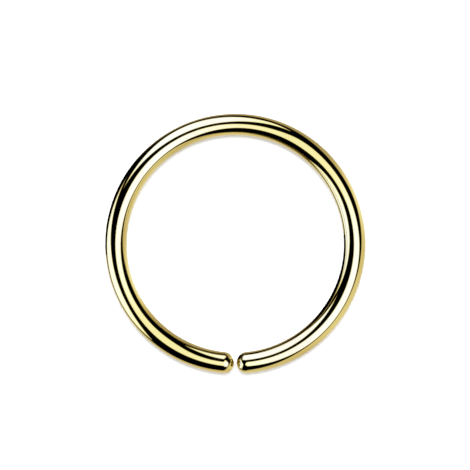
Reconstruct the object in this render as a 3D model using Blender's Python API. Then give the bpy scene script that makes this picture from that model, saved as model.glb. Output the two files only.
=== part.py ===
"""Seamless hoop ring: one round wire bent to a circle, whose two rounded ends nearly meet.

The hoop lies flat on the plane z = 0. Its axis is +Z, its centre is at x = y = 0, and the gap
between its ends faces -Y. Every length is in metres and every angle in radians.
"""

import math

import bpy

OBJECT_NAME = "seamless_hoop_ring"

# Sizes of the real ring
WIRE_DIAMETER = 0.00100
INSIDE_DIAMETER = 0.01010
END_GAP = 0.00012
NOSE_LENGTH = 0.00048
TIP_SHARE = 0.12  # radius of the flat that is left on each tip, as a share of the wire's radius

# How finely the wire is divided
RING_STEPS = 128
NOSE_STEPS = 8
BEVEL_RESOLUTION = 14
WIRE_SIDES = 4 + 2 * BEVEL_RESOLUTION

# Sizes that follow from those above
WIRE_RADIUS = WIRE_DIAMETER / 2
BEND_RADIUS = INSIDE_DIAMETER / 2 + WIRE_RADIUS
HALF_SIDE_ANGLE = math.pi / WIRE_SIDES

GOLD_COLOUR = (0.63, 0.49, 0.16, 1.0)
MIRROR_ROUGHNESS = 0.06


def clear_scene():
    for obj in list(bpy.data.objects):
        bpy.data.objects.remove(obj, do_unlink=True)


def nose_profile():
    """(distance from the shoulder, share of the wire's radius) for each section of a rounded end.

    The outline is a quarter of an ellipse: distance = length * sin(t) and share = cos(t). It leaves
    the wire smoothly and stops at the tip's flat.
    """
    last_t = math.acos(TIP_SHARE)
    turns = [last_t * step / NOSE_STEPS for step in range(1, NOSE_STEPS + 1)]
    return [(NOSE_LENGTH * math.sin(t), math.cos(t)) for t in turns]


def wire_stations():
    """(angle round the hoop from the middle of the gap, share of the wire's radius), end to end."""
    shoulder = (END_GAP / 2 + NOSE_LENGTH) / BEND_RADIUS
    first_nose = [(shoulder - along / BEND_RADIUS, share) for along, share in reversed(nose_profile())]
    sweep = 2 * math.pi - 2 * shoulder
    ring = [(shoulder + sweep * step / RING_STEPS, 1.0) for step in range(RING_STEPS + 1)]
    last_nose = [(2 * math.pi - angle, share) for angle, share in reversed(first_nose)]
    return first_nose + ring + last_nose


def gold_metal():
    """Mirror-polished gold-coloured steel."""
    material = bpy.data.materials.new("polished_gold")
    material.use_nodes = True
    shader = material.node_tree.nodes["Principled BSDF"]
    shader.inputs["Base Color"].default_value = GOLD_COLOUR
    shader.inputs["Metallic"].default_value = 1.0
    shader.inputs["Roughness"].default_value = MIRROR_ROUGHNESS
    return material


def hoop_wire(material):
    """The bent wire, as a curve whose bevel is the wire's section.

    The section's flats are one wire diameter apart, and its tilt turns one flat straight down,
    so the hoop lies on a real flat strip.
    """
    curve = bpy.data.curves.new("hoop_wire", "CURVE")
    curve.dimensions = "3D"
    curve.twist_mode = "Z_UP"
    curve.bevel_mode = "ROUND"
    curve.bevel_depth = WIRE_RADIUS / math.cos(HALF_SIDE_ANGLE)
    curve.bevel_resolution = BEVEL_RESOLUTION
    curve.use_fill_caps = True
    stations = wire_stations()
    spline = curve.splines.new("POLY")
    spline.points.add(len(stations) - 1)
    spline.use_smooth = True
    for point, (angle, share) in zip(spline.points, stations):
        x = BEND_RADIUS * math.sin(angle)
        y = -BEND_RADIUS * math.cos(angle)
        point.co = (x, y, WIRE_RADIUS, 1.0)
        point.radius = share
        point.tilt = HALF_SIDE_ANGLE
    curve.materials.append(material)
    return bpy.data.objects.new("hoop_wire", curve)


def main():
    clear_scene()
    collection = bpy.data.collections.new(OBJECT_NAME)
    bpy.context.scene.collection.children.link(collection)
    collection.objects.link(hoop_wire(gold_metal()))


main()
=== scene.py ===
# %% [markdown]
# # A seamless hoop ring, dressed for its picture
#
# The object is a bendable hoop for a nostril, an ear or a lip: one round wire of steel, plated the
# colour of gold, polished like a mirror, and bent to a circle until its two rounded ends almost meet.
#
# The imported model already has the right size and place, so it is loaded first, as a fixed frame.
# Everything below is measured from that frame, and nothing is fitted by eye afterwards.

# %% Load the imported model
import math

import bpy
import numpy as np
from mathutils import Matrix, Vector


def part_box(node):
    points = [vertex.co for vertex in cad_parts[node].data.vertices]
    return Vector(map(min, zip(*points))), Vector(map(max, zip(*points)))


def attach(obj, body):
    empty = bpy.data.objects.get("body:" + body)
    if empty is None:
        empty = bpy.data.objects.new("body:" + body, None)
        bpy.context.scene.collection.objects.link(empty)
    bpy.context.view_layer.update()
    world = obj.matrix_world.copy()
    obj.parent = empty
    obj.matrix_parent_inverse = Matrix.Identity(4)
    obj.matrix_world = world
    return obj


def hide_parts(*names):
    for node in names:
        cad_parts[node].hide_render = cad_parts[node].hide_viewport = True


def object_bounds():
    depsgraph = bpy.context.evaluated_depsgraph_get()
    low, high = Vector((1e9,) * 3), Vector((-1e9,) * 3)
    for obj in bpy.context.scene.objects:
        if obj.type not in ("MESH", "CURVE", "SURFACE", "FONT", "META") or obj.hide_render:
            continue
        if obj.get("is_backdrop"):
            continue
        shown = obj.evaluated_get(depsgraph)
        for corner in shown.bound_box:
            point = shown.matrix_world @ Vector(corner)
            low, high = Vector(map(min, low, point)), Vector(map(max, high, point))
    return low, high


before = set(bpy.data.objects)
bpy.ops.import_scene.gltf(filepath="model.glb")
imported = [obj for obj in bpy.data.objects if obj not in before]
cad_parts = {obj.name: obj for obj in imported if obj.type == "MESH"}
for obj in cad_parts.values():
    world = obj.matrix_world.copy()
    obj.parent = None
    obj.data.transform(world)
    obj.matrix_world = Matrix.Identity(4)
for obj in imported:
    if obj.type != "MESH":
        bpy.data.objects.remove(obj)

cad_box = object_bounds()

# %% [markdown]
# ## The sizes that drive everything
#
# A hoop like this is ordered by two numbers, the thickness of its wire and its inside diameter.
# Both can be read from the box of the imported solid: the hoop lies flat, so the box is as high as
# the wire is thick, and as wide as the bend and one wire together. Two numbers don't show in a box,
# the length of a rounded end and the gap between the ends, so they are stated here.

# %% Read the wire and the bend from the frame
MILLIMETRE = 0.001
NOSE_LENGTH = 0.48 * MILLIMETRE
END_GAP = 0.12 * MILLIMETRE

low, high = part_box("hoop_wire")
wire_radius = (high.z - low.z) / 2
bend_radius = (high.x - low.x) / 2 - wire_radius
wire_height = low.z + wire_radius
wire_length = 2 * math.pi * bend_radius
print(f"wire {2 * wire_radius / MILLIMETRE:.2f} mm thick, bent to {bend_radius / MILLIMETRE:.2f} mm")

# %% [markdown]
# ## Sections along the wire
#
# On the real ring each end is ground and then tumbled until it is a smooth nose, very nearly half a
# ball, so that it slips through skin without scratching it. A curve with a bevel would bend well,
# but it can't round its own ends off as smoothly as a mirror polish asks for. So the wire is worked
# out as a surface: a circle is carried along the bend, at full size round the hoop and shrinking to
# nothing over the two noses, and the sections crowd together where it shrinks fastest.

# %% Place the sections
NOSE_SECTIONS = 32
BEND_SECTIONS = 720


def nose_sections():
    """(distance from the middle of the gap, share of the full radius) for each section of a nose.

    The nose is half an ellipsoid. With q running from 0 at the tip to a quarter turn at the
    shoulder, a section lies length * cos(q) short of the shoulder and its share is sin(q).
    """
    q = np.linspace(0, math.pi / 2, NOSE_SECTIONS + 1)[1:]
    shoulder = END_GAP / 2 + NOSE_LENGTH
    return shoulder - NOSE_LENGTH * np.cos(q), np.sin(q)


nose_along, nose_share = nose_sections()
bend_along = np.linspace(nose_along[-1], wire_length - nose_along[-1], BEND_SECTIONS + 1)[1:-1]
along = np.concatenate([nose_along, bend_along, wire_length - nose_along[::-1]])
share = np.concatenate([nose_share, np.ones_like(bend_along), nose_share[::-1]])
spacing = (bend_along[1] - bend_along[0]) / MILLIMETRE
print(f"{len(along)} sections, {spacing:.3f} mm apart round the bend")

# %% [markdown]
# ## The wire as a surface of two parameters
#
# One parameter says how far along the wire a point is, and the other how far round its section.
# Both are laid out as whole arrays, so one formula places every vertex at once, and no loop visits
# them one by one. A wire polished like a mirror shows every flat in its mesh as a kink in what it
# mirrors, so its section has 96 sides, although 32 would do for a matt one.

# %% Work out every point of the wire
SIDES = 96


def wire_points(along, share, around):
    """Points of the wire: the bend's centre line plus a circle of radius share * wire_radius.

    The angle round the hoop is along / bend_radius, from -Y towards +X. The outward direction there
    is (sin, -cos, 0), and the circle is outward * cos(around) + up * sin(around).
    """
    turn = along / bend_radius
    reach = bend_radius + wire_radius * share * np.cos(around)
    x = reach * np.sin(turn)
    y = -reach * np.cos(turn)
    z = wire_height + wire_radius * share * np.sin(around)
    return np.stack([x, y, z], axis=-1).reshape(-1, 3)


around = np.linspace(0, 2 * math.pi, SIDES, endpoint=False)
tip_along = np.array([END_GAP / 2, wire_length - END_GAP / 2])
section_points = wire_points(along[:, None], share[:, None], around[None, :])
tip_points = wire_points(tip_along, np.zeros(2), np.zeros(2))
wire_vertices = np.concatenate([section_points, tip_points])
print(f"{len(wire_vertices)} vertices: {len(along)} sections of {SIDES}, and 2 tips")

# %% [markdown]
# ## Faces between the sections
#
# Four neighbouring points of the grid make a quad. The last column joins the first, which closes
# the tube without a seam, and at each tip a fan of triangles meets in a single vertex. The order of
# a face's corners decides which way it looks, and here every face looks out of the metal.

# %% Join the points into faces


def tube_faces(rings, sides):
    """Quads (i, j), (i+1, j), (i+1, j+1), (i, j+1) of a grid whose last column joins its first."""
    i, j = np.meshgrid(np.arange(rings - 1), np.arange(sides), indexing="ij")
    after = (j + 1) % sides
    quads = [i * sides + j, (i + 1) * sides + j, (i + 1) * sides + after, i * sides + after]
    return np.stack(quads, axis=-1).reshape(-1, 4)


def tip_faces(rings, sides):
    """A fan of triangles from each tip's vertex to the section beside it."""
    j = np.arange(sides)
    after = (j + 1) % sides
    tip = np.full(sides, rings * sides)
    last_ring = (rings - 1) * sides
    first_fan = np.stack([tip, j, after], axis=-1)
    last_fan = np.stack([last_ring + j, tip + 1, last_ring + after], axis=-1)
    return np.concatenate([first_fan, last_fan])


def smooth_mesh(name, vertices, faces):
    """A smooth-shaded mesh from an array of points and a list of faces."""
    mesh = bpy.data.meshes.new(name)
    mesh.from_pydata(vertices, [], faces)
    mesh.shade_smooth()
    return mesh


quads = tube_faces(len(along), SIDES)
fans = tip_faces(len(along), SIDES)
wire_mesh = smooth_mesh("polished_hoop_wire", wire_vertices, quads.tolist() + fans.tolist())
print(f"{2 * len(quads) + len(fans)} triangles once the quads are split")

# %% [markdown]
# ## Straightening the wire for its patterns
#
# The marks of drawing and polishing run along a wire, and they were made before it was bent. A
# pattern in the object's own coordinates would run straight across the hoop instead. So every
# vertex also remembers its place on the straight wire in millimetres: how far along, and how far
# sideways and up from the axis. A pattern that reads this attribute follows the bend and, unlike
# one on an unrolled UV map, has no seam where the section closes.

# %% Store each vertex's place on the straight wire


def straight_places(along, share, around):
    """(along, sideways, up) of each vertex on the straight wire, in millimetres."""
    sideways = wire_radius * share * np.cos(around)
    up = wire_radius * share * np.sin(around)
    return np.stack([along + 0 * sideways, sideways, up], axis=-1).reshape(-1, 3) / MILLIMETRE


section_places = straight_places(along[:, None], share[:, None], around[None, :])
tip_places = straight_places(tip_along, np.zeros(2), np.zeros(2))
places = np.concatenate([section_places, tip_places]).astype(np.float32)
place_attribute = wire_mesh.attributes.new("straight_place", "FLOAT_VECTOR", "POINT")
place_attribute.data.foreach_set("vector", places.ravel())
print("places run from", places.min(axis=0), "to", places.max(axis=0), "mm")

# %% [markdown]
# ## One piece, one body
#
# The real ring is a single length of wire, so there is a single piece. It rides on the packed
# model's one body and stands in for the plainer solid there, which keeps its part in collisions,
# hidden.

# %% Put the wire on its body
hoop = bpy.data.objects.new("polished_hoop_wire", wire_mesh)
bpy.context.scene.collection.objects.link(hoop)
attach(hoop, "root")
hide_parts("hoop_wire")
print("faults mended in the mesh:", wire_mesh.validate())

# %% [markdown]
# ## The colour of the plating
#
# A metal has no paint of its own: it tints what it mirrors. What a picture shows of that tint also
# depends on brightness, because film answers less and less to more light. Both are kept here in one
# rule, held = 1 - exp(-tone * light), where the tone says how strongly the plating answers in red,
# green and blue. At the light of white paper, which is 1 here, the rule gives the plating's
# everyday colour, a pale yellow gold.

# %% Turn the tone into a base colour
GOLD_TONE = np.array([1.0, 0.68, 0.17])
PAPER_WHITE = 1.0


def held_by_film(light):
    """Colour of the gold's reflection of a light of this brightness: 1 - exp(-tone * light)."""
    return 1 - np.exp(-np.multiply.outer(light, GOLD_TONE))


gold_colour = held_by_film(PAPER_WHITE)
print("gold, in linear red, green and blue:", np.round(gold_colour, 3))

# %% [markdown]
# ## Helpers for node groups
#
# Each effect in the finish is a node group of its own, with named inputs and outputs, so that it
# can be tried alone and used in another material with other values. Three small helpers keep the
# groups short: one makes a group with its sockets, one adds a node and joins its inputs, and one
# does a sum.

# %% Helpers for shader nodes


def new_group(name, inputs, outputs):
    """A shader node group with (name, type, default) sockets. A default may be None."""
    group = bpy.data.node_groups.new(name, "ShaderNodeTree")
    for direction, sockets in (("INPUT", inputs), ("OUTPUT", outputs)):
        for socket_name, kind, default in sockets:
            socket = group.interface.new_socket(socket_name, in_out=direction, socket_type=kind)
            if default is not None:
                socket.default_value = default
    return group, group.nodes.new("NodeGroupInput").outputs, group.nodes.new("NodeGroupOutput").inputs


def add_node(tree, kind, inputs, **settings):
    """Adds a node. Each input, by name or number, gets a socket to join or a value to hold."""
    node = tree.nodes.new(kind)
    for key, value in settings.items():
        setattr(node, key, value)
    for key, value in inputs.items():
        if isinstance(value, bpy.types.NodeSocket):
            tree.links.new(value, node.inputs[key])
        else:
            node.inputs[key].default_value = value
    return node


def do_sum(tree, operation, *values):
    """The output of a Math node that does one operation on sockets and numbers."""
    return add_node(tree, "ShaderNodeMath", dict(enumerate(values)), operation=operation).outputs[0]


print("three helpers ready")

# %% [markdown]
# ## Drawing lines
#
# Wire is pulled through a die, which leaves fine lines along it. Polishing takes nearly all of
# them away, and what is left only softens a reflection a little across the wire. Noise that is
# stretched far along the straight wire gives such lines, and because it is read in three
# dimensions it meets itself all round the section.

# %% Group: lines left by drawing the wire


def make_drawn_lines():
    """Noise stretched along the wire, read at (along / length, sideways * count, up * count)."""
    group, given, result = new_group(
        "drawn_lines",
        [
            ("Place", "NodeSocketVector", None),
            ("Line Length", "NodeSocketFloat", 3.0),
            ("Lines per mm", "NodeSocketFloat", 20.0),
        ],
        [("Lines", "NodeSocketFloat", None)],
    )
    place = add_node(group, "ShaderNodeSeparateXYZ", {0: given["Place"]}).outputs
    x = do_sum(group, "DIVIDE", place[0], given["Line Length"])
    y = do_sum(group, "MULTIPLY", place[1], given["Lines per mm"])
    z = do_sum(group, "MULTIPLY", place[2], given["Lines per mm"])
    stretched = add_node(group, "ShaderNodeCombineXYZ", {0: x, 1: y, 2: z}).outputs[0]
    noise = add_node(group, "ShaderNodeTexNoise", {"Vector": stretched, "Scale": 1.0, "Detail": 2.0})
    group.links.new(noise.outputs["Fac"], result["Lines"])
    return group


drawn_lines = make_drawn_lines()
print("drawn_lines:", len(drawn_lines.nodes), "nodes")

# %% [markdown]
# ## Hairline marks
#
# A mirror polish takes marks from the first time it is handled: hair-thin, a millimetre or so
# long, slanting all ways, and only in patches. The line where a smooth noise crosses its middle
# value is a thin wandering curve. Stretching the noise straightens that curve into a hairline, and
# a second, larger noise decides where the patches are.

# %% Group: hairline marks in patches


def make_hairline_marks():
    """1 where a slanted, stretched noise is within Width of 0.5 inside a patch, and 0 elsewhere."""
    group, given, result = new_group(
        "hairline_marks",
        [
            ("Place", "NodeSocketVector", None),
            ("Slant", "NodeSocketFloat", 0.6),
            ("Mark Length", "NodeSocketFloat", 1.2),
            ("Marks per mm", "NodeSocketFloat", 3.0),
            ("Width", "NodeSocketFloat", 0.02),
            ("Patch Size", "NodeSocketFloat", 1.5),
        ],
        [("Marks", "NodeSocketFloat", None)],
    )
    slanted = add_node(
        group,
        "ShaderNodeVectorRotate",
        {"Vector": given["Place"], "Axis": (0.0, 0.6, 0.8), "Angle": given["Slant"]},
    ).outputs[0]
    slow = do_sum(group, "DIVIDE", 1.0, given["Mark Length"])
    scale = add_node(group, "ShaderNodeCombineXYZ", {0: slow, 1: given["Marks per mm"], 2: given["Marks per mm"]})
    stretched = add_node(group, "ShaderNodeVectorMath", {0: slanted, 1: scale.outputs[0]}, operation="MULTIPLY")
    noise = add_node(group, "ShaderNodeTexNoise", {"Vector": stretched.outputs[0], "Scale": 1.0, "Detail": 0.0})
    off_middle = do_sum(group, "ABSOLUTE", do_sum(group, "SUBTRACT", noise.outputs["Fac"], 0.5))
    hairline = add_node(
        group,
        "ShaderNodeMapRange",
        {"Value": off_middle, "From Min": 0.0, "From Max": given["Width"], "To Min": 1.0, "To Max": 0.0},
    )
    patch_scale = do_sum(group, "DIVIDE", 1.0, given["Patch Size"])
    patches = add_node(group, "ShaderNodeTexNoise", {"Vector": given["Place"], "Scale": patch_scale, "Detail": 1.0})
    patch = add_node(
        group, "ShaderNodeMapRange", {"Value": patches.outputs["Fac"], "From Min": 0.50, "From Max": 0.62}
    )
    marks = do_sum(group, "MULTIPLY", hairline.outputs[0], patch.outputs[0])
    group.links.new(marks, result["Marks"])
    return group


hairline_marks = make_hairline_marks()
print("hairline_marks:", len(hairline_marks.nodes), "nodes")

# %% [markdown]
# ## The tone of the plating
#
# Plating is a little thicker in one place than in the next, and it looks slightly redder there.
# The change is far too weak to notice as a pattern, but without it the metal looks computed. So two
# golds, a breath lighter and a breath deeper than the measured one, are mixed by a broad noise.

# %% Group: uneven tone of the plating


def make_plating_tone():
    """Mix of a light and a deep gold by a broad noise whose contrast is stretched."""
    group, given, result = new_group(
        "plating_tone",
        [
            ("Place", "NodeSocketVector", None),
            ("Light Gold", "NodeSocketColor", (1.0, 1.0, 1.0, 1.0)),
            ("Deep Gold", "NodeSocketColor", (1.0, 1.0, 1.0, 1.0)),
            ("Patch Size", "NodeSocketFloat", 2.0),
        ],
        [("Color", "NodeSocketColor", None)],
    )
    scale = do_sum(group, "DIVIDE", 1.0, given["Patch Size"])
    noise = add_node(group, "ShaderNodeTexNoise", {"Vector": given["Place"], "Scale": scale, "Detail": 3.0})
    depth = add_node(
        group, "ShaderNodeMapRange", {"Value": noise.outputs["Fac"], "From Min": 0.35, "From Max": 0.65}
    )
    mix = add_node(
        group,
        "ShaderNodeMix",
        {0: depth.outputs[0], 6: given["Light Gold"], 7: given["Deep Gold"]},
        data_type="RGBA",
    )
    group.links.new(mix.outputs[2], result["Color"])
    return group


plating_tone = make_plating_tone()
print("plating_tone:", len(plating_tone.nodes), "nodes")

# %% [markdown]
# ## The polished finish
#
# Now the groups meet in one material. The metal is a mirror, so its roughness is very low, and the
# lines and marks raise it only slightly. Their depths are real ones, a small part of a micrometre,
# and the metal also has the gentle waves that tumbling leaves, half a millimetre apart. On a mirror
# even these show, as the faint tremble in the edge of a reflection.

# %% Material: gold-coloured mirror polish
MICROMETRE = 0.000001
POLISH_ROUGHNESS = 0.03
LINE_ROUGHNESS = 0.02
MARK_ROUGHNESS = 0.10
WAVE_DEPTH_UM = 0.9
LINE_DEPTH_UM = 0.03
MARK_DEPTH_UM = 0.06
LIGHT_GOLD = gold_colour * np.array([1.0, 1.03, 1.06])
DEEP_GOLD = gold_colour * np.array([1.0, 0.97, 0.94])


def polished_gold():
    """Metal that reads its tone, roughness and relief from patterns on the straight wire."""
    material = bpy.data.materials.new("polished_gold_plating")
    material.use_nodes = True
    tree = material.node_tree
    shader = tree.nodes["Principled BSDF"]
    shader.inputs["Metallic"].default_value = 1.0
    place = add_node(tree, "ShaderNodeAttribute", {}, attribute_name="straight_place").outputs["Vector"]

    golds = {"Light Gold": (*LIGHT_GOLD, 1.0), "Deep Gold": (*DEEP_GOLD, 1.0)}
    tone = add_node(tree, "ShaderNodeGroup", {}, node_tree=plating_tone)
    lines = add_node(tree, "ShaderNodeGroup", {"Place": place}, node_tree=drawn_lines).outputs[0]
    rising = add_node(tree, "ShaderNodeGroup", {"Place": place, "Slant": 0.5}, node_tree=hairline_marks)
    falling = add_node(tree, "ShaderNodeGroup", {"Place": place, "Slant": -0.8}, node_tree=hairline_marks)
    marks = do_sum(tree, "MAXIMUM", rising.outputs[0], falling.outputs[0])
    waves = add_node(tree, "ShaderNodeTexNoise", {"Vector": place, "Scale": 1.0, "Detail": 1.0})

    tree.links.new(place, tone.inputs["Place"])
    for name, colour in golds.items():
        tone.inputs[name].default_value = colour
    lined = do_sum(tree, "MULTIPLY_ADD", lines, LINE_ROUGHNESS, POLISH_ROUGHNESS)
    roughness = do_sum(tree, "MULTIPLY_ADD", marks, MARK_ROUGHNESS, lined)
    wave_height = do_sum(tree, "MULTIPLY", waves.outputs["Fac"], WAVE_DEPTH_UM)
    line_height = do_sum(tree, "MULTIPLY_ADD", lines, LINE_DEPTH_UM, wave_height)
    height = do_sum(tree, "MULTIPLY_ADD", marks, -MARK_DEPTH_UM, line_height)
    relief = add_node(tree, "ShaderNodeBump", {"Height": height, "Distance": MICROMETRE})

    tree.links.new(tone.outputs["Color"], shader.inputs["Base Color"])
    tree.links.new(roughness, shader.inputs["Roughness"])
    tree.links.new(relief.outputs["Normal"], shader.inputs["Normal"])
    return material


hoop.data.materials.append(polished_gold())
print("finish:", [material.name for material in hoop.data.materials])

# %% [markdown]
# ## The surface that the hoop lies on
#
# A ring like this is photographed on bright white paper. The paper is one large quad at the height
# of the hoop's lowest point. It is hidden from the metal's reflections, because what the metal
# mirrors is set separately below, as a photographer would set it with cards.

# %% Lay the paper
PAPER_SIDE = 1.5
PAPER_COLOUR = (0.9, 0.9, 0.9, 1.0)

paper_corners = np.array([[-0.5, -0.5, 0], [0.5, -0.5, 0], [0.5, 0.5, 0], [-0.5, 0.5, 0]]) * PAPER_SIDE
paper_corners[:, 2] = low.z
paper = bpy.data.objects.new("white_paper", smooth_mesh("white_paper", paper_corners, [[0, 1, 2, 3]]))
bpy.context.scene.collection.objects.link(paper)
paper.visible_glossy = False
paper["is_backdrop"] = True

matt_paper = bpy.data.materials.new("matt_white_paper")
matt_paper.use_nodes = True
paper_shader = matt_paper.node_tree.nodes["Principled BSDF"]
paper_shader.inputs["Base Color"].default_value = PAPER_COLOUR
paper_shader.inputs["Roughness"].default_value = 1.0
paper_shader.inputs["Specular IOR Level"].default_value = 0.0
paper.data.materials.append(matt_paper)
print("paper at height", low.z)

# %% [markdown]
# ## How a round wire mirrors a studio
#
# The look of polished metal is the look of its surroundings. Seen from straight above, a round
# wire mirrors nearly the whole room in its width: its crown mirrors what is overhead, and its rim
# what is far below. A wall's place between them is its share of the wire's radius, 0 at the crown
# and 1 at the rim, and the way that it faces is its azimuth, 0 towards +X and 90 towards +Y.
# Because the hoop turns through every azimuth, the two numbers name every direction in the room.
# So each card is described by where its edges appear on the metal, which can be seen in a
# picture, and the rule of reflection works out where in the room it has to hang.

# %% From a place on the wire to a direction in the room


def mirrored_direction(azimuth, share):
    """Unit vectors towards what the wire mirrors to a viewer straight above it.

    The wall there has the normal n = (share cos azimuth, share sin azimuth, sqrt(1 - share^2)), and
    a ray that comes straight down leaves it along 2 n_z n - z.
    """
    up = np.sqrt(np.clip(1 - share**2, 0, 1))
    normal = np.stack([share * np.cos(azimuth), share * np.sin(azimuth), up], axis=-1)
    direction = 2 * normal[..., 2:] * normal
    direction[..., 2] -= 1
    return direction


for place_name, place_share in (("crown", 0.0), ("horizon", math.sqrt(0.5)), ("rim", 1.0)):
    print(place_name, "mirrors", np.round(mirrored_direction(np.array(0.0), np.array(place_share)), 3))

# %% [markdown]
# ## The four cards
#
# Four bright shapes are mirrored in the wire, and all else is black, which is what makes the
# metal look like metal. Each card is a short table. A row gives an azimuth in degrees, the shares
# where the card begins and ends there, and its glow at both of those edges, 1 being white paper.
# The rows are joined by a smooth curve, so few of them are needed.

# %% Tables of the cards
CARD_COLUMNS = ("azimuth", "near share", "far share", "near glow", "far glow")

FRONT_CARD = (
    (-160, 0.00, 0.12, 3.5, 3.5),
    (-145, 0.00, 0.20, 3.0, 3.0),
    (-130, 0.00, 0.28, 2.8, 2.8),
    (-110, 0.00, 0.30, 3.0, 3.0),
    (-90, 0.00, 0.335, 5.0, 5.0),
    (-70, 0.00, 0.43, 10.0, 10.0),
    (-50, 0.00, 0.50, 14.0, 14.0),
    (-20, 0.00, 0.50, 14.0, 14.0),
    (0, 0.00, 0.445, 11.0, 11.0),
    (20, 0.00, 0.365, 6.0, 6.0),
    (40, 0.00, 0.325, 3.2, 3.2),
    (60, 0.00, 0.285, 2.7, 2.7),
    (70, 0.00, 0.16, 2.8, 2.8),
    (80, 0.00, 0.10, 3.0, 3.0),
    (100, 0.00, 0.065, 5.0, 5.0),
    (150, 0.00, 0.065, 9.0, 9.0),
    (190, 0.00, 0.09, 9.0, 9.0),
    (205, 0.00, 0.12, 5.0, 5.0),
)

OVERHEAD_CARD = (
    (64, 0.53, 0.59, 3.0, 3.0),
    (70, 0.475, 0.65, 4.0, 4.0),
    (80, 0.35, 0.67, 6.0, 6.0),
    (90, 0.27, 0.70, 14.0, 14.0),
    (110, 0.235, 0.77, 14.0, 14.0),
    (125, 0.27, 0.735, 14.0, 14.0),
    (140, 0.37, 0.60, 12.0, 12.0),
    (154, 0.49, 0.51, 5.0, 5.0),
)

LEFT_CARD = (
    (148, 0.73, 0.75, 4.0, 4.0),
    (160, 0.60, 0.77, 6.0, 6.0),
    (170, 0.53, 0.815, 9.0, 9.0),
    (180, 0.47, 0.85, 10.0, 9.0),
    (195, 0.41, 0.88, 10.0, 8.0),
    (210, 0.42, 0.87, 7.0, 6.0),
    (220, 0.52, 0.83, 6.0, 3.0),
    (229, 0.68, 0.76, 3.0, 1.0),
)

SURROUND_CARD = (
    (-175, 0.88, 1.00, 0.6, 0.5),
    (-150, 0.88, 1.00, 1.2, 1.1),
    (-130, 0.79, 1.00, 0.7, 1.0),
    (-110, 0.75, 1.00, 0.9, 1.0),
    (-90, 0.69, 1.00, 1.05, 1.05),
    (-70, 0.60, 1.00, 1.1, 0.9),
    (-58, 0.53, 1.00, 1.2, 0.7),
    (-40, 0.53, 1.00, 1.5, 1.1),
    (-20, 0.54, 1.00, 1.3, 1.05),
    (0, 0.60, 1.00, 1.1, 1.0),
    (20, 0.67, 1.00, 1.6, 2.1),
    (40, 0.62, 1.00, 0.55, 0.8),
    (60, 0.71, 1.00, 0.4, 0.6),
    (80, 0.79, 1.00, 0.4, 0.55),
    (100, 0.84, 1.00, 0.4, 0.5),
    (130, 0.87, 1.00, 0.2, 0.3),
    (145, 0.92, 1.00, 0.0, 0.0),
)

CARDS = {
    "front_card": FRONT_CARD,
    "overhead_card": OVERHEAD_CARD,
    "left_card": LEFT_CARD,
    "surround_card": SURROUND_CARD,
}
print({name: len(rows) for name, rows in CARDS.items()}, "rows of", CARD_COLUMNS)

# %% [markdown]
# ## From a table to a card
#
# A card is again a surface of two parameters, its azimuth and how far across it a point is. A
# softbox is brighter in the middle than at its cloth's edge, so the glow fades over a narrow band
# beside each edge. A card many times brighter than paper would be drawn far past white and swallow
# the thin dark lines next to it, so it is given the colour whose reflection film would still hold.

# %% Work out a card's points and colours
CARD_DISTANCE = 300 * MILLIMETRE
EDGE_FADE = 0.06
CARD_STEPS_ROUND = 361
CARD_STEPS_ACROSS = 33


def through_rows(table, azimuth):
    """Each column after the first, as a smooth curve through the rows.

    Between two rows it is the cubic that starts and ends with the slopes there, and the slope at a
    row comes from its two neighbours.
    """
    x, y = table[:, 0], table[:, 1:]
    slope = np.gradient(y, x, axis=0)
    k = np.clip(np.searchsorted(x, azimuth, side="right") - 1, 0, len(x) - 2)
    width = (x[k + 1] - x[k])[:, None]
    t = (azimuth - x[k])[:, None] / width
    level = y[k] * (1 - t) ** 2 * (1 + 2 * t) + y[k + 1] * t**2 * (3 - 2 * t)
    return level + width * t * (1 - t) * (slope[k] * (1 - t) - slope[k + 1] * t)


def card_surface(rows):
    """(points, colours) of a card on a ball of radius CARD_DISTANCE round the hoop's centre.

    Across the card the share runs from near to far, and the glow from near glow to far glow. Within
    EDGE_FADE of an edge the glow is multiplied by the square of the way in from that edge.
    """
    table = np.array(rows)
    azimuth = np.linspace(table[0, 0], table[-1, 0], CARD_STEPS_ROUND)
    near, far, near_glow, far_glow = through_rows(table, azimuth).T[..., None]
    across = (1 - np.cos(np.linspace(0, math.pi, CARD_STEPS_ACROSS))) / 2
    share_out = np.clip(near + (far - near) * across, 0, 1)
    way_in = np.full_like(share_out, EDGE_FADE)
    if table[0, 1] > 0:
        way_in = np.minimum(way_in, share_out - near)
    if table[0, 2] < 1:
        way_in = np.minimum(way_in, far - share_out)
    fade = np.clip(way_in / EDGE_FADE, 0, 1) ** 2
    glow = np.maximum(near_glow + (far_glow - near_glow) * across, 0) * fade
    direction = mirrored_direction(np.radians(azimuth)[:, None] + 0 * share_out, share_out)
    points = CARD_DISTANCE * direction + np.array([0, 0, wire_height])
    return points.reshape(-1, 3), (held_by_film(glow) / gold_colour).reshape(-1, 3)


def sheet_faces(rows, columns):
    """Quads (i, j), (i+1, j), (i+1, j+1), (i, j+1) of an open grid."""
    i, j = np.meshgrid(np.arange(rows - 1), np.arange(columns - 1), indexing="ij")
    corner = i * columns + j
    return np.stack([corner, corner + columns, corner + columns + 1, corner + 1], axis=-1).reshape(-1, 4)


card_faces = sheet_faces(CARD_STEPS_ROUND, CARD_STEPS_ACROSS).tolist()
print(len(card_faces), "faces in each card")

# %% [markdown]
# ## Hanging the cards
#
# Each card shines with the colour stored in its own vertices. It only has to be seen in the metal,
# so it is hidden from the camera and from the paper, which then stays evenly lit.

# %% Hang the cards


def card_light():
    """A material that shines with the mesh's own colours."""
    material = bpy.data.materials.new("card_light")
    material.use_nodes = True
    tree = material.node_tree
    tree.nodes.clear()
    colour = add_node(tree, "ShaderNodeAttribute", {}, attribute_name="card_colour").outputs["Color"]
    light = add_node(tree, "ShaderNodeEmission", {"Color": colour})
    add_node(tree, "ShaderNodeOutputMaterial", {"Surface": light.outputs[0]})
    return material


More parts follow.
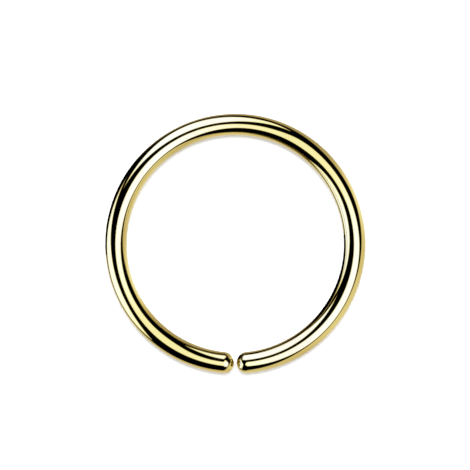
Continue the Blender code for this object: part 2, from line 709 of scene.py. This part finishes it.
def hang_card(name, rows, material):
    """Makes a card's mesh, stores its colours and leaves it visible to reflections alone."""
    points, colours = card_surface(rows)
    mesh = smooth_mesh(name, points, card_faces)
    attribute = mesh.attributes.new("card_colour", "FLOAT_VECTOR", "POINT")
    attribute.data.foreach_set("vector", colours.astype(np.float32).ravel())
    mesh.materials.append(material)
    card = bpy.data.objects.new(name, mesh)
    bpy.context.scene.collection.objects.link(card)
    for ray in ("camera", "diffuse", "transmission", "shadow"):
        setattr(card, "visible_" + ray, False)
    card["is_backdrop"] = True
    print(name, "hangs between heights", np.round([points[:, 2].min(), points[:, 2].max()], 3))


shared_light = card_light()
for name, rows in CARDS.items():
    hang_card(name, rows, shared_light)

# %% [markdown]
# ## Light on the paper
#
# The paper needs only soft, even light that leaves it white, and a broad lamp above the far side
# of the hoop, whose faint shadow falls towards the near side and sets the ring down on the paper.

# %% Light the room
ROOM_BRIGHTNESS = 1.0
LAMP_SIDE = 250 * MILLIMETRE
LAMP_HEIGHT = 500 * MILLIMETRE
LAMP_BEHIND = 150 * MILLIMETRE
LAMP_WATTS = 3.0

room = bpy.data.worlds.new("white_room")
bpy.context.scene.world = room
room.use_nodes = True
sky = room.node_tree.nodes["Background"]
sky.inputs["Color"].default_value = (1.0, 1.0, 1.0, 1.0)
sky.inputs["Strength"].default_value = ROOM_BRIGHTNESS
room.cycles_visibility.glossy = False

lamp_data = bpy.data.lights.new("broad_lamp", "AREA")
lamp_data.shape = "SQUARE"
lamp_data.size = LAMP_SIDE
lamp_data.energy = LAMP_WATTS
lamp = bpy.data.objects.new("broad_lamp", lamp_data)
lamp.location = (0.0, LAMP_BEHIND, LAMP_HEIGHT)
lamp.rotation_euler = (-math.atan2(LAMP_BEHIND, LAMP_HEIGHT), 0.0, 0.0)
lamp.visible_glossy = False
lamp.visible_camera = False
bpy.context.scene.collection.objects.link(lamp)
print("lamp leans", round(math.degrees(lamp.rotation_euler.x), 1), "degrees")

# %% [markdown]
# ## The camera
#
# The picture looks squarely at the hoop's face from far away, so both sides of the wire show the
# same width. Lying on the paper the hoop faces up, and the camera hangs straight above it with a
# very long lens. Its distance follows from how many pixels wide the hoop has to be.

# %% Hang the camera
PICTURE_SIDE_PX = 470
HOOP_WIDTH_PX = 260.2
HOOP_CENTRE_PX = (235.37, 243.84)
LENS_MM = 600.0
SENSOR_MM = 36.0

pixel = 2 * (bend_radius + wire_radius) / HOOP_WIDTH_PX
distance = PICTURE_SIDE_PX * pixel * LENS_MM / SENSOR_MM
camera_data = bpy.data.cameras.new("long_lens")
camera_data.lens = LENS_MM
camera_data.sensor_width = SENSOR_MM
camera_data.clip_start = 10 * MILLIMETRE
camera_data.clip_end = 10.0
camera = bpy.data.objects.new("long_lens", camera_data)
camera.location = (
    (PICTURE_SIDE_PX / 2 - HOOP_CENTRE_PX[0]) * pixel,
    (HOOP_CENTRE_PX[1] - PICTURE_SIDE_PX / 2) * pixel,
    wire_height + distance,
)
bpy.context.scene.collection.objects.link(camera)
bpy.context.scene.camera = camera
bpy.context.scene.view_settings.view_transform = "Standard"
print(f"camera {distance / MILLIMETRE:.0f} mm above the wire, {pixel / MILLIMETRE:.4f} mm a pixel")

# %% [markdown]
# ## The size of both models
#
# The dressed model and the imported one are measured, and their sizes are printed side by side.
# The dressed model must be as large as the imported one.

# %% Print both boxes and finish
dressed_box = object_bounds()
boxes = {
    "cad": [list(corner) for corner in cad_box],
    "dressed": [list(corner) for corner in dressed_box],
}
for name, (lowest, highest) in boxes.items():
    print(name, [round((b - a) / MILLIMETRE, 3) for a, b in zip(lowest, highest)], "mm")
